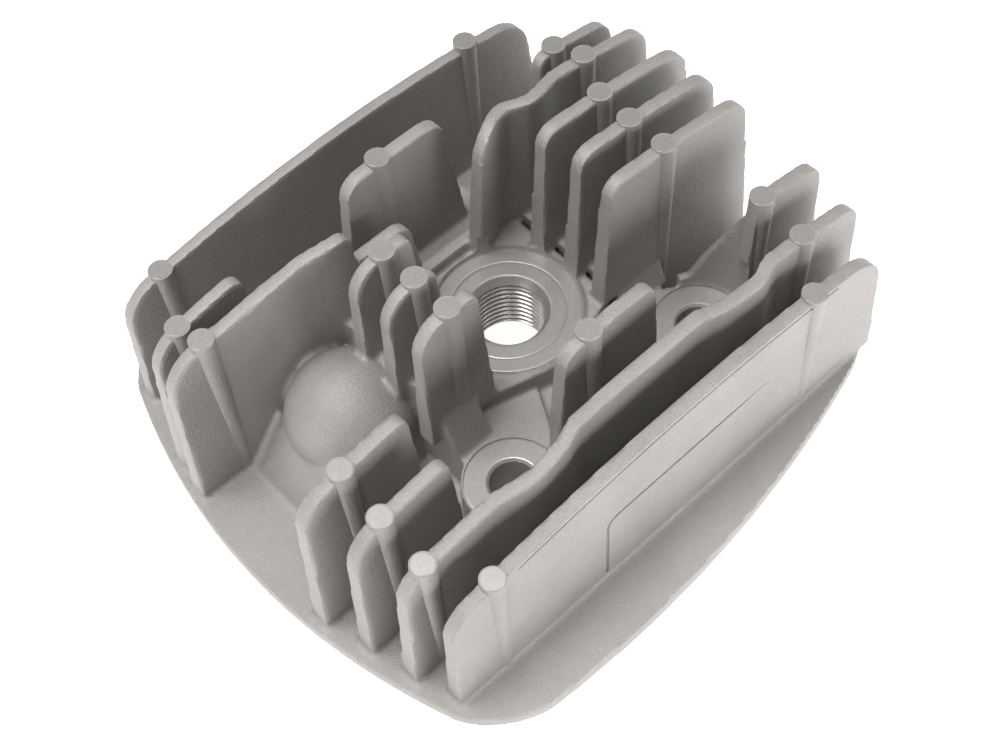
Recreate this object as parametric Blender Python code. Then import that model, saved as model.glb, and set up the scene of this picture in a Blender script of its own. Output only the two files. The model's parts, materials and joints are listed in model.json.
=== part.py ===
"""Bare air-cooled cylinder head of a small two-stroke engine.

The real head is one aluminium die casting. Here each region of the casting is its own solid:
the flange, the gasket deck, the plug boss, the stud pads, the blind boss and every cooling fin.
Frame: metres, +Z up, fins along X, gasket face on Z = 0, origin below the middle of the flange.
"""

import math

import bmesh
import bpy
from mathutils import Vector
from mathutils.geometry import convex_hull_2d

MM = 0.001

# Clearance that keeps neighbouring regions apart
GAP = 0.3 * MM

# Flange
FLANGE_LENGTH = 111.4 * MM
FLANGE_WIDTH = 103.0 * MM
FLANGE_THICKNESS = 3.0 * MM
FLANGE_CORNER = 6.0 * MM
LEFT_BULGE = 10.9 * MM
RIGHT_BULGE = 0.5 * MM
FRONT_BULGE = 5.8 * MM
BACK_BULGE = 4.6 * MM
FRONT_RIGHT_SETBACK = 11.6 * MM
BACK_RIGHT_SETBACK = 8.0 * MM
LEFT_SETBACK = 1.5 * MM

# Gasket deck and combustion chamber
DECK_THICKNESS = 4.8 * MM
DECK_RADIUS = 39.0 * MM
BORE_X = 5.5 * MM
BORE_Y = 0.0
CHAMBER_RADIUS = 20.0 * MM
CHAMBER_DEPTH = 8.0 * MM

# Stud pads
STUD_SPACING = 44.0 * MM
STUD_HOLE_RADIUS = 4.0 * MM
STUD_PAD_RADIUS = 8.2 * MM
STUD_PAD_HEIGHT = 17.2 * MM
SPOT_FACE_DEPTH = 0.3 * MM
FRONT_SPOT_FACE_RADIUS = 7.9 * MM
BACK_SPOT_FACE_RADIUS = 5.7 * MM
NUT_ROOM = 0.2 * MM

# Spark plug seat, thread M14
PLUG_OFFSET_X = -0.8 * MM
PLUG_OFFSET_Y = 1.4 * MM
PLUG_BORE_RADIUS = 6.7 * MM
PLUG_CHAMFER = 1.1 * MM
PLUG_SEAT_HEIGHT = 20.5 * MM
PLUG_SEAT_RADIUS = 12.9 * MM
PLUG_BOSS_RADIUS = 14.2 * MM
PLUG_BOSS_HEIGHT = 21.6 * MM
PLUG_BOSS_REACH_LEFT = 16.6 * MM
PLUG_BOSS_REACH_RIGHT = 14.6 * MM
PLUG_BOSS_HALF_WIDTH = 9.6 * MM

# Shoulders beside the plug seat, which carry the short fins and the right-hand fins
LEFT_SHOULDER_HEIGHT = 28.0 * MM
LEFT_SHOULDER_LENGTH = 7.5 * MM
RIGHT_SHOULDER_HEIGHT = 21.6 * MM
RIGHT_SHOULDER_LENGTH = 10.6 * MM
SHOULDER_FRONT = 9.9 * MM
SHOULDER_FRONT_RUN = 4.6 * MM
SHOULDER_TO_ROW_F = 2.7 * MM

# Low webs between the stud pads
FRONT_WEB_HEIGHT = 15.9 * MM
BACK_WEB_HEIGHT = 18.8 * MM
WEB_REACH = 28.0 * MM
WEB_HALF_WIDTH = 13.6 * MM

# Curved wall beside the front right stud pad
WELL_WALL_THICKNESS = 1.6 * MM
WELL_WALL_HIGH = 44.0 * MM
WELL_WALL_LOW = 20.5 * MM
WELL_WALL_START = math.radians(4)
WELL_WALL_END = math.radians(64)

# Blind boss on the left of the plug seat
DOME_RADIUS = 11.0 * MM
DOME_X = -27.6 * MM
DOME_Y = 5.4 * MM
DOME_Z = 19.4 * MM
RAMP_TOE = 15.6 * MM
RAMP_LENGTH = 26.0 * MM
RAMP_HALF_WIDTH = 9.3 * MM

# Cooling fins
FIN_TIP_HALF_THICKNESS = 1.1 * MM
FIN_DRAFT = math.radians(1.0)
FIN_CROWN_HEIGHT = 50.9 * MM
FIN_CROWN_RADIUS_X = 234.0 * MM
FIN_CROWN_RADIUS_Y = 68.0 * MM
FIN_END_INSET = 1.0 * MM
FIN_END_LEAN = math.radians(3.5)
OUTER_CORNER = 6.0 * MM
INNER_CORNER = 3.0 * MM
FIN_STEP = 7.0 * MM
BULGE = 1.7 * MM
BULGE_WIDTH = 4.2 * MM

# Ejector-pin columns on the fins
PIN_RADIUS = 1.9 * MM
PIN_FOOT_RADIUS = 1.0 * MM
PIN_PROUD = 0.3 * MM
PIN_SIDES = 16

# Rows of fins, front to back. Row F keeps its distance to the line of the back studs.
ROW_A = -39.8 * MM
ROW_B = -32.2 * MM
ROW_C = -23.9 * MM
ROW_D = -15.1 * MM
ROW_E1 = -8.0 * MM
ROW_E2 = -0.5 * MM
ROW_E3 = 7.1 * MM
STUD_TO_ROW_F = 6.0 * MM
STUD_TO_ROW_F_LEFT = 5.1 * MM
STUD_TO_LEDGE = 4.6 * MM
ROW_G = 23.7 * MM
ROW_H = 39.4 * MM

# Where fins stop and where their pins stand, measured along X from the plug axis
LEFT_BANK_END = -35.0 * MM
SHORT_FIN_START = -26.3 * MM
SHORT_FIN_END = -14.8 * MM
RIGHT_BANK_START = 13.9 * MM
MID_FIN_START = -12.5 * MM
MID_FIN_END = 6.9 * MM
C_RIGHT_START = 30.9 * MM
G_RIGHT_START = 28.2 * MM
F_LEFT_END = -20.1 * MM
F_LEFT_BULGE = -21.0 * MM
STEP_FIN_END = -8.8 * MM
STEP_FIN_HEIGHT = 40.0 * MM
LEDGE_START = -6.2 * MM
LEDGE_END = 5.6 * MM
LEDGE_HEIGHT = 23.0 * MM
F_RIGHT_START = 7.4 * MM
A_END = 45.0 * MM
H_END = 39.5 * MM
LEFT_PIN = -47.6 * MM
EDGE_PIN = -41.6 * MM
SHORT_PIN = -19.6 * MM
MID_PIN = -6.3 * MM
RIGHT_PIN = 26.8 * MM
FAR_PIN = 32.8 * MM
B_BULGE_LEFT = -24.0 * MM
B_BULGE_RIGHT = 20.0 * MM

# Heights and places that follow from the sizes above
FLANGE_BOTTOM = DECK_THICKNESS + GAP
FLANGE_TOP = FLANGE_BOTTOM + FLANGE_THICKNESS
FOOT = FLANGE_TOP + GAP
BACK_STUD_LINE = BORE_Y + STUD_SPACING / 2
ROW_F = BACK_STUD_LINE - STUD_TO_ROW_F
ROW_F_LEFT = BACK_STUD_LINE - STUD_TO_ROW_F_LEFT
ROW_LEDGE = BACK_STUD_LINE - STUD_TO_LEDGE
PLUG_X = BORE_X + PLUG_OFFSET_X
PLUG_Y = BORE_Y + PLUG_OFFSET_Y
CHAMBER_SPHERE = (CHAMBER_RADIUS**2 + CHAMBER_DEPTH**2) / (2 * CHAMBER_DEPTH)
CORE_REACH = math.hypot(max(PLUG_BOSS_REACH_LEFT, PLUG_BOSS_REACH_RIGHT), PLUG_BOSS_HALF_WIDTH)
CORE_RADIUS = max(CORE_REACH, PLUG_BOSS_RADIUS) + math.hypot(PLUG_OFFSET_X, PLUG_OFFSET_Y) + 2 * GAP

LEFT_X = -FLANGE_LENGTH / 2 + LEFT_BULGE
RIGHT_X = FLANGE_LENGTH / 2 - RIGHT_BULGE
FRONT_LEFT = Vector((LEFT_X, -FLANGE_WIDTH / 2 + LEFT_SETBACK))
FRONT_RIGHT = Vector((RIGHT_X, -FLANGE_WIDTH / 2 + FRONT_RIGHT_SETBACK))
BACK_RIGHT = Vector((RIGHT_X, FLANGE_WIDTH / 2 - BACK_RIGHT_SETBACK))
BACK_LEFT = Vector((LEFT_X, FLANGE_WIDTH / 2 - LEFT_SETBACK))

STUDS = {
    "front_left": (-1, -1),
    "front_right": (1, -1),
    "back_right": (1, 1),
    "back_left": (-1, 1),
}


def clear_scene():
    for obj in list(bpy.data.objects):
        bpy.data.objects.remove(obj, do_unlink=True)


def cast_aluminium(name, tint):
    """Sand-blasted die-cast aluminium, slightly different for each region."""
    material = bpy.data.materials.new(name)
    material.use_nodes = True
    shader = material.node_tree.nodes["Principled BSDF"]
    shader.inputs["Base Color"].default_value = (0.60 * tint, 0.59 * tint, 0.57 * tint, 1)
    shader.inputs["Metallic"].default_value = 0.85
    shader.inputs["Roughness"].default_value = 0.55
    return material


def finish(name, mesh_builder, tint=1.0, helper=False):
    """Turns a bmesh into a named object: a visible region, or a hidden helper for a Boolean."""
    bmesh.ops.recalc_face_normals(mesh_builder, faces=mesh_builder.faces)
    mesh = bpy.data.meshes.new(name)
    mesh_builder.to_mesh(mesh)
    mesh_builder.free()
    obj = bpy.data.objects.new(name, mesh)
    bpy.context.scene.collection.objects.link(obj)
    if helper:
        obj.hide_render = True
        obj.display_type = "WIRE"
    else:
        mesh.materials.append(cast_aluminium(name + "_aluminium", tint))
        mesh.shade_smooth()
        mesh.set_sharp_from_angle(angle=math.radians(40))
    return obj


def boolean(obj, other, operation):
    modifier = obj.modifiers.new(operation.lower() + "_" + other.name, "BOOLEAN")
    modifier.operation = operation
    modifier.solver = "EXACT"
    modifier.object = other
    return modifier


def prism(outline, bottom, top, grow=0.0):
    """A vertical prism over a closed outline, given as (x, y) pairs."""
    builder = bmesh.new()
    lower = [builder.verts.new((x, y, bottom - grow)) for x, y in outline]
    upper = [builder.verts.new((x, y, top + grow)) for x, y in outline]
    count = len(outline)
    builder.faces.new(lower[::-1])
    builder.faces.new(upper)
    for i in range(count):
        j = (i + 1) % count
        builder.faces.new((lower[i], lower[j], upper[j], upper[i]))
    return builder


def circle(x, y, radius, sides):
    step = 2 * math.pi / sides
    return [(x + radius * math.cos(i * step), y + radius * math.sin(i * step)) for i in range(sides)]


def hull(points):
    """The convex outline round a set of (x, y) points."""
    order = convex_hull_2d([Vector(point) for point in points])
    return [points[i] for i in order]


def side_arc(start, end, bulge, parts):
    """Points from start towards end along a shallow arc that stands out by bulge, without the end."""
    along = end - start
    outward = Vector((along.y, -along.x)).normalized()
    points = []
    for i in range(parts):
        t = i / parts
        points.append(start + along * t + outward * bulge * 4 * t * (1 - t))
    return points


def flange_outline():
    points = side_arc(FRONT_LEFT, FRONT_RIGHT, FRONT_BULGE, 10)
    points += side_arc(FRONT_RIGHT, BACK_RIGHT, RIGHT_BULGE, 4)
    points += side_arc(BACK_RIGHT, BACK_LEFT, BACK_BULGE, 10)
    points += side_arc(BACK_LEFT, FRONT_LEFT, LEFT_BULGE, 12)
    return [(p.x, p.y) for p in points]


def flange_left(y):
    t = (y - FRONT_LEFT.y) / (BACK_LEFT.y - FRONT_LEFT.y)
    return LEFT_X - LEFT_BULGE * 4 * t * (1 - t)


def flange_right(y):
    t = (y - FRONT_RIGHT.y) / (BACK_RIGHT.y - FRONT_RIGHT.y)
    return RIGHT_X + RIGHT_BULGE * 4 * t * (1 - t)


def crown(x, y):
    """Height of the fin tips, which lie on one shallow dome."""
    drop_x = (x - PLUG_X) ** 2 / (2 * FIN_CROWN_RADIUS_X)
    drop_y = (y - BORE_Y) ** 2 / (2 * FIN_CROWN_RADIUS_Y)
    return FIN_CROWN_HEIGHT - drop_x - drop_y


def chamber_cutter():
    """The bowl of the combustion chamber, cut from below."""
    builder = bmesh.new()
    bmesh.ops.create_uvsphere(builder, u_segments=40, v_segments=40, radius=CHAMBER_SPHERE)
    centre = Vector((BORE_X, BORE_Y, CHAMBER_DEPTH - CHAMBER_SPHERE))
    bmesh.ops.translate(builder, verts=builder.verts, vec=centre)
    return finish("chamber_cutter", builder, helper=True)


def stud_centres():
    half = STUD_SPACING / 2
    return {name: (BORE_X + sx * half, BORE_Y + sy * half) for name, (sx, sy) in STUDS.items()}


def stud_hole_cutter(name, centre):
    outline = circle(*centre, STUD_HOLE_RADIUS, 20)
    builder = prism(outline, 0, STUD_PAD_HEIGHT, grow=GAP)
    return finish("stud_hole_" + name, builder, helper=True)


def gasket_deck(chamber, stud_holes):
    """Sealing face round the combustion chamber, below the flange."""
    outline = circle(BORE_X, BORE_Y, DECK_RADIUS, 56)
    obj = finish("gasket_deck", prism(outline, 0, DECK_THICKNESS), tint=0.95)
    boolean(obj, chamber, "DIFFERENCE")
    for hole in stud_holes:
        boolean(obj, hole, "DIFFERENCE")
    return obj


def base_flange(stud_holes):
    """The thin plate that all the fins stand on."""
    builder = prism(flange_outline(), FLANGE_BOTTOM, FLANGE_TOP)
    corners = [FRONT_LEFT, FRONT_RIGHT, BACK_RIGHT, BACK_LEFT]
    sharp = []
    for edge in builder.edges:
        a, b = (vert.co for vert in edge.verts)
        upright = abs(a.x - b.x) + abs(a.y - b.y) < 1e-7
        if upright and any((a.xy - corner).length < 1e-6 for corner in corners):
            sharp.append(edge)
    bmesh.ops.bevel(builder, geom=sharp, offset=FLANGE_CORNER, segments=4, profile=0.5, affect="EDGES")
    obj = finish("base_flange", builder, tint=0.97)
    core = prism(circle(BORE_X, BORE_Y, CORE_RADIUS + GAP, 40), FLANGE_BOTTOM, FLANGE_TOP, grow=GAP)
    boolean(obj, finish("flange_core_hole", core, helper=True), "DIFFERENCE")
    for hole in stud_holes:
        boolean(obj, hole, "DIFFERENCE")
    return obj


def plug_boss_outline(grow=0.0):
    points = circle(PLUG_X, PLUG_Y, PLUG_BOSS_RADIUS + grow, 40)
    left = PLUG_X - PLUG_BOSS_REACH_LEFT - grow
    right = PLUG_X + PLUG_BOSS_REACH_RIGHT + grow
    half = PLUG_BOSS_HALF_WIDTH + grow
    points += [(x, PLUG_Y + s * half) for x in (left, right) for s in (-1, 1)]
    return hull(points)


def plug_boss(chamber):
    """Raised platform with the recessed, spot-faced plug seat and the threaded plug hole."""
    builder = prism(plug_boss_outline(), FLANGE_TOP - GAP, PLUG_BOSS_HEIGHT)
    obj = finish("plug_boss", builder, tint=1.04)
    core = prism(circle(BORE_X, BORE_Y, CORE_RADIUS, 40), FLANGE_BOTTOM, FLANGE_TOP)
    boolean(obj, finish("plug_core", core, helper=True), "UNION")
    boolean(obj, chamber, "DIFFERENCE")
    top = PLUG_BOSS_HEIGHT + GAP
    chamfer_radius = PLUG_BORE_RADIUS + PLUG_CHAMFER
    profile = [
        (PLUG_SEAT_RADIUS, top),
        (PLUG_SEAT_RADIUS, PLUG_SEAT_HEIGHT),
        (chamfer_radius, PLUG_SEAT_HEIGHT),
        (PLUG_BORE_RADIUS, PLUG_SEAT_HEIGHT - PLUG_CHAMFER),
        (PLUG_BORE_RADIUS, -GAP),
    ]
    cutter = finish("plug_hole_cutter", turned_solid(profile, PLUG_X, PLUG_Y, 40), helper=True)
    boolean(obj, cutter, "DIFFERENCE")
    return obj


def turned_solid(profile, x, y, sides):
    """A solid of revolution whose first and last rings are closed with caps."""
    builder = bmesh.new()
    rings = []
    for radius, z in profile:
        rings.append([builder.verts.new((px, py, z)) for px, py in circle(x, y, radius, sides)])
    for upper, lower in zip(rings, rings[1:]):
        for k in range(sides):
            m = (k + 1) % sides
            builder.faces.new((upper[k], upper[m], lower[m], lower[k]))
    builder.faces.new(rings[0])
    builder.faces.new(rings[-1][::-1])
    return builder


def stud_pad_outline(name, centre, grow=0.0):
    """A round pad with a web that runs towards the plug boss."""
    sx, sy = STUDS[name]
    points = circle(*centre, STUD_PAD_RADIUS + grow, 32)
    wall = PLUG_Y + sy * (PLUG_BOSS_HALF_WIDTH + GAP - grow)
    web_outer = PLUG_X + sx * (PLUG_BOSS_REACH_RIGHT + grow)
    web_inner = PLUG_X + sx * (PLUG_BOSS_HALF_WIDTH / 2 - grow)
    points += [(web_outer, wall), (web_inner, wall)]
    return hull(points)


def spot_face_radius(name):
    return FRONT_SPOT_FACE_RADIUS if STUDS[name][1] < 0 else BACK_SPOT_FACE_RADIUS


def nut_room(name, centre):
    """The space a nut and its spanner need above a stud pad, which the fins round it keep clear."""
    outline = circle(*centre, spot_face_radius(name) + NUT_ROOM, 32)
    builder = prism(outline, STUD_PAD_HEIGHT - SPOT_FACE_DEPTH, FIN_CROWN_HEIGHT, grow=GAP)
    return finish("nut_room_" + name, builder, helper=True)


def stud_pad(name, centre, hole, boss_clearance):
    outline = stud_pad_outline(name, centre)
    obj = finish("stud_pad_" + name, prism(outline, FOOT, STUD_PAD_HEIGHT), tint=1.02)
    face_bottom = STUD_PAD_HEIGHT - SPOT_FACE_DEPTH
    face = prism(circle(*centre, spot_face_radius(name), 32), face_bottom, STUD_PAD_HEIGHT + GAP)
    boolean(obj, finish("spot_face_" + name, face, helper=True), "DIFFERENCE")
    boolean(obj, hole, "DIFFERENCE")
    boolean(obj, boss_clearance, "DIFFERENCE")
    return obj


def web_outline(side, grow=0.0):
    outer = BORE_Y + side * (WEB_REACH + grow)
    inner = PLUG_Y + side * (PLUG_BOSS_HALF_WIDTH - grow)
    half = WEB_HALF_WIDTH + grow
    return hull([(PLUG_X + s * half, y) for s in (-1, 1) for y in (outer, inner)])


def web(name, side, height, clear):
    """The low deck between two stud pads, in front of the plug boss or behind it."""
    obj = finish(name, prism(web_outline(side), FOOT, height), tint=1.0)
    for helper in clear:
        boolean(obj, helper, "DIFFERENCE")
    return obj


def shoulder_builder(side, grow=0.0):
    """A raised block beside the plug seat. Its front slopes down to the level of the stud pads."""
    if side < 0:
        near = PLUG_X - PLUG_BOSS_REACH_LEFT - GAP
        far = near - LEFT_SHOULDER_LENGTH
        height = LEFT_SHOULDER_HEIGHT
    else:
        near = PLUG_X + PLUG_BOSS_REACH_RIGHT + GAP
        far = near + RIGHT_SHOULDER_LENGTH
        height = RIGHT_SHOULDER_HEIGHT
    low, high = min(near, far) - grow, max(near, far) + grow
    front = PLUG_Y - SHOULDER_FRONT - grow
    back = ROW_F - SHOULDER_TO_ROW_F + grow
    profile = [
        (front - SHOULDER_FRONT_RUN, FOOT - grow),
        (back, FOOT - grow),
        (back, height + grow),
        (front, height + grow),
        (front - SHOULDER_FRONT_RUN, STUD_PAD_HEIGHT + grow),
    ]
    builder = bmesh.new()
    ends = [[builder.verts.new((x, y, z)) for y, z in profile] for x in (low, high)]
    builder.faces.new(ends[0][::-1])
    builder.faces.new(ends[1])
    for i in range(len(profile)):
        j = (i + 1) % len(profile)
        builder.faces.new((ends[0][i], ends[0][j], ends[1][j], ends[1][i]))
    return builder


def well_wall(centre, clear):
    """A thin curved wall round the far side of one stud pad, falling from a fin's end to the deck."""
    inner = STUD_PAD_RADIUS + GAP
    outer = inner + WELL_WALL_THICKNESS
    parts = 10
    builder = bmesh.new()
    sections = []
    for i in range(parts + 1):
        t = i / parts
        angle = WELL_WALL_START + (WELL_WALL_END - WELL_WALL_START) * t
        top = WELL_WALL_HIGH + (WELL_WALL_LOW - WELL_WALL_HIGH) * math.sin(t * math.pi / 2)
        ends = [
            (centre[0] + r * math.cos(angle), centre[1] + r * math.sin(angle), z)
            for r, z in ((inner, FOOT), (inner, top), (outer, top), (outer, FOOT))
        ]
        sections.append([builder.verts.new(point) for point in ends])
    close_sections(builder, sections)
    obj = finish("stud_well_wall", builder, tint=1.0)
    for helper in clear:
        boolean(obj, helper, "DIFFERENCE")
    return obj


def close_sections(builder, sections):
    """Joins a row of four-sided sections into one closed body."""
    for a, b in zip(sections, sections[1:]):
        for i in range(4):
            j = (i + 1) % 4
            builder.faces.new((a[i], a[j], b[j], b[i]))
    builder.faces.new(sections[0])
    builder.faces.new(sections[-1][::-1])


def blind_boss_builder(grow=0.0):
    """A smooth domed boss that runs out to the flange as a sloping ramp."""
    builder = bmesh.new()
    floor = FOOT - grow
    bmesh.ops.create_uvsphere(builder, u_segments=32, v_segments=16, radius=DOME_RADIUS + grow)
    bmesh.ops.translate(builder, verts=builder.verts, vec=(DOME_X, DOME_Y, DOME_Z))
    points = [Vector((v.co.x, v.co.y, max(v.co.z, floor))) for v in builder.verts]
    builder.clear()
    toe = DOME_X - RAMP_TOE - grow
    heel = toe + RAMP_LENGTH + 2 * grow
    half = RAMP_HALF_WIDTH + grow
    points += [Vector((x, DOME_Y + s * half, floor)) for x in (toe, heel) for s in (-1, 1)]
    for point in points:
        builder.verts.new(point)
    result = bmesh.ops.convex_hull(builder, input=builder.verts)
    spare = [item for item in result["geom_interior"] if isinstance(item, bmesh.types.BMVert)]
    bmesh.ops.delete(builder, geom=spare, context="VERTS")
    bmesh.ops.remove_doubles(builder, verts=builder.verts, dist=0.00001)
    bmesh.ops.dissolve_limit(
        builder,
        angle_limit=math.radians(1),
        verts=builder.verts,
        edges=builder.edges,
    )
    return builder


def pin_cutter(name, x, y, foot, top):
    """A tapered column, widest at the fin's tip, that fades into the fin lower down."""
    profile = [(PIN_RADIUS, top + PIN_PROUD), (PIN_FOOT_RADIUS, foot)]
    return finish(name, turned_solid(profile, x, y, PIN_SIDES), helper=True)


def fin_stations(left, right, left_corner, right_corner):
    """Places along a fin: close together round its top corners, and even in between."""
    steps = (0.0, 0.13, 0.29, 0.5, 1.0)
    low = [left + left_corner * s for s in steps]
    high = [right - right_corner * s for s in reversed(steps)]
    count = max(1, round((high[0] - low[-1]) / FIN_STEP))
    middle = [low[-1] + (high[0] - low[-1]) * i / count for i in range(1, count)]
    return low + middle + high


def corner_drop(distance, radius):
    """How far the top edge has fallen at a distance from the fin's end, round a corner."""
    if distance >= radius:
        return 0.0
    return radius - math.sqrt(radius**2 - (radius - distance) ** 2)


def fin_builder(row, foot, left, right, corners, lean, bulges, height):
    """A drafted fin along X. The tip follows the crown, or stays at a height if one is given."""
    builder = bmesh.new()
    sections = []
    stations = fin_stations(left, right, *corners)
    for index, x in enumerate(stations):
        tip_height = crown(x, row) if height is None else height
        rise = tip_height - foot
        drop = corner_drop(x - left, corners[0]) + corner_drop(right - x, corners[1])
        top = tip_height - min(drop, 0.8 * rise)
        sway = sum(scale * math.exp(-(((x - place) / BULGE_WIDTH) ** 2)) for place, scale in bulges)
        centre = row - BULGE * sway
        foot_x = x
        if index == 0:
            foot_x -= lean * (top - foot)
        if index == len(stations) - 1:
            foot_x += lean * (top - foot)
        tip = FIN_TIP_HALF_THICKNESS + math.tan(FIN_DRAFT) * (crown(x, row) - top)
        root = FIN_TIP_HALF_THICKNESS + math.tan(FIN_DRAFT) * (crown(x, row) - foot)
        section = [
            (foot_x, centre - root, foot),
            (x, centre - tip, top),
            (x, centre + tip, top),
            (foot_x, centre + root, foot),
        ]
        sections.append([builder.verts.new(point) for point in section])
    close_sections(builder, sections)
    return builder


def make_fin(name, row, start=None, end=None, pins=(), bulges=(), height=None, foot=FOOT, clear=()):
    """One fin. Without a start or an end it reaches the edge of the flange there."""
    lean = math.tan(FIN_END_LEAN)
    rise = crown(PLUG_X, row) - FOOT
    corners = [INNER_CORNER, INNER_CORNER]
    if start is None:
        left = flange_left(row) + FIN_END_INSET + lean * rise
        corners[0] = OUTER_CORNER
    else:
        left = PLUG_X + start
    if end is None:
        right = flange_right(row) - FIN_END_INSET - lean * rise
        corners[1] = OUTER_CORNER
    else:
        right = PLUG_X + end
    waves = [(PLUG_X + place, scale) for place, scale in bulges]
    obj = finish(name, fin_builder(row, foot, left, right, corners, lean, waves, height))
    for number, pin in enumerate(pins):
        x = PLUG_X + pin
        sway = sum(scale * math.exp(-(((x - place) / BULGE_WIDTH) ** 2)) for place, scale in waves)
        y = row - BULGE * sway
        pin_name = f"{name}_pin_{number}"
        boolean(obj, pin_cutter(pin_name, x, y, foot, crown(x, row)), "UNION")
    for helper in clear:
        boolean(obj, helper, "DIFFERENCE")
    return obj


def make_front_fins(pads, rooms):
    """Rows A to D, on the side of the front stud pads."""
    make_fin("fin_a", ROW_A, end=A_END, pins=(EDGE_PIN, RIGHT_PIN))
    swells = ((B_BULGE_LEFT, 0.8), (B_BULGE_RIGHT, 0.8))
    make_fin("fin_b", ROW_B, pins=(LEFT_PIN, FAR_PIN), bulges=swells, clear=pads)
    make_fin("fin_c_left", ROW_C, end=LEFT_BANK_END, pins=(LEFT_PIN,))
    seat = FRONT_WEB_HEIGHT + GAP
    ends = {"start": MID_FIN_START, "end": MID_FIN_END}
    make_fin("fin_c_middle", ROW_C, **ends, pins=(MID_PIN,), foot=seat, clear=pads + rooms)
    make_fin("fin_c_right", ROW_C, start=C_RIGHT_START, pins=(FAR_PIN,), clear=pads + rooms)
    make_fin("fin_d_left", ROW_D, end=LEFT_BANK_END, pins=(LEFT_PIN,))


def make_middle_fins(boss, dome, shoulders, pads):
    """Three short fins on the left of the plug seat, and three long ones on its right."""
    rows = {"front": ROW_E1, "middle": ROW_E2, "back": ROW_E3}
    for place, row in rows.items():
        ends = {"start": SHORT_FIN_START, "end": SHORT_FIN_END}
        around = [shoulders[0], dome]
        name = "short_fin_" + place
        foot = PLUG_BOSS_HEIGHT + GAP
        make_fin(name, row, **ends, pins=(SHORT_PIN,), foot=foot, clear=around)
        around = [boss, shoulders[1]] + pads
        name = "right_fin_" + place
        make_fin(name, row, start=RIGHT_BANK_START, pins=(RIGHT_PIN,), clear=around)


def make_back_fins(boss, dome, shoulders, pads, rooms, back_web):
    """Rows F to H, on the side of the back stud pads."""
    around = [dome, shoulders[0]] + pads + rooms
    swell = ((F_LEFT_BULGE, 0.8),)
    make_fin("fin_f_left", ROW_F_LEFT, end=F_LEFT_END, pins=(LEFT_PIN,), bulges=swell, clear=around)
    step_start = F_LEFT_END + math.tan(FIN_END_LEAN) * (FIN_CROWN_HEIGHT - FOOT) + GAP
    step = {"start": step_start, "end": STEP_FIN_END, "height": STEP_FIN_HEIGHT}
    deck = BACK_WEB_HEIGHT + GAP
    make_fin("fin_f_step", ROW_F, **step, foot=deck, clear=[boss] + rooms)
    ledge = {"start": LEDGE_START, "end": LEDGE_END, "height": LEDGE_HEIGHT}
    make_fin("fin_f_ledge", ROW_LEDGE, **ledge, foot=deck, clear=[boss])
    waves = ((F_RIGHT_START, 0.9), (F_RIGHT_START + 12 * MM, 0.65))
    around = [boss, back_web, shoulders[1]] + pads + rooms
    make_fin("fin_f_right", ROW_F, start=F_RIGHT_START, pins=(FAR_PIN,), bulges=waves, clear=around)
    make_fin("fin_g_left", ROW_G, end=LEFT_BANK_END, pins=(LEFT_PIN,))
    ends = {"start": MID_FIN_START, "end": MID_FIN_END}
    make_fin("fin_g_middle", ROW_G, **ends, pins=(MID_PIN,), foot=deck, clear=pads + rooms)
    make_fin("fin_g_right", ROW_G, start=G_RIGHT_START, pins=(FAR_PIN,), clear=pads + rooms)
    make_fin("fin_h", ROW_H, end=H_END, pins=(EDGE_PIN, RIGHT_PIN))


def centre_on_origin():
    """Moves everything so that the origin lies below the middle of the flange's bounding box."""
    outline = flange_outline()
    xs = [x for x, y in outline]
    ys = [y for x, y in outline]
    root = bpy.data.objects.new("cylinder_head", None)
    bpy.context.scene.collection.objects.link(root)
    root.location = (-(min(xs) + max(xs)) / 2, -(min(ys) + max(ys)) / 2, 0)
    for obj in bpy.context.scene.objects:
        if obj is not root:
            obj.parent = root


def main():
    clear_scene()
    centres = stud_centres()
    chamber = chamber_cutter()
    holes = {name: stud_hole_cutter(name, centre) for name, centre in centres.items()}
    gasket_deck(chamber, holes.values())
    base_flange(holes.values())
    plug_boss(chamber)

    boss_prism = prism(plug_boss_outline(GAP), FOOT, PLUG_BOSS_HEIGHT, grow=GAP)
    boss = finish("plug_boss_clearance", boss_prism, helper=True)
    dome = finish("blind_boss_clearance", blind_boss_builder(GAP), helper=True)
    pads = []
    rooms = [nut_room(name, centre) for name, centre in centres.items()]
    for name, centre in centres.items():
        stud_pad(name, centre, holes[name], boss)
        outline = stud_pad_outline(name, centre, GAP)
        pad = prism(outline, FOOT, STUD_PAD_HEIGHT, grow=GAP)
        pads.append(finish("stud_pad_clearance_" + name, pad, helper=True))
    web("front_web", -1, FRONT_WEB_HEIGHT, [boss] + pads)
    web("back_web", 1, BACK_WEB_HEIGHT, [boss] + pads)
    back_prism = prism(web_outline(1, GAP), FOOT, BACK_WEB_HEIGHT, grow=GAP)
    back_web = finish("back_web_clearance", back_prism, helper=True)

    shoulders = []
    for name, side in (("left", -1), ("right", 1)):
        shoulder = finish("shoulder_" + name, shoulder_builder(side), tint=1.0)
        for helper in [boss, dome] + pads + rooms:
            boolean(shoulder, helper, "DIFFERENCE")
        clearance = finish("shoulder_clearance_" + name, shoulder_builder(side, GAP), helper=True)
        shoulders.append(clearance)
    blind_boss = finish("blind_boss", blind_boss_builder(), tint=1.03)
    for helper in pads + rooms:
        boolean(blind_boss, helper, "DIFFERENCE")
    well_wall(centres["front_right"], [shoulders[1]] + rooms)

    make_front_fins(pads, rooms)
    make_middle_fins(boss, dome, shoulders, pads)
    make_back_fins(boss, dome, shoulders, pads, rooms, back_web)
    centre_on_origin()


main()
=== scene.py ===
"""The looks of a bare air-cooled cylinder head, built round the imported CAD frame.

Every region is modelled as a closed solid, and the solids are melted into one casting with rounded
roots. The casting is then machined, as the real one is, and cut back into a piece for each region.
Shapes are in millimetres in the seat frame: origin on the plug axis at the height of the plug seat.
"""

import json
import math

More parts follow.
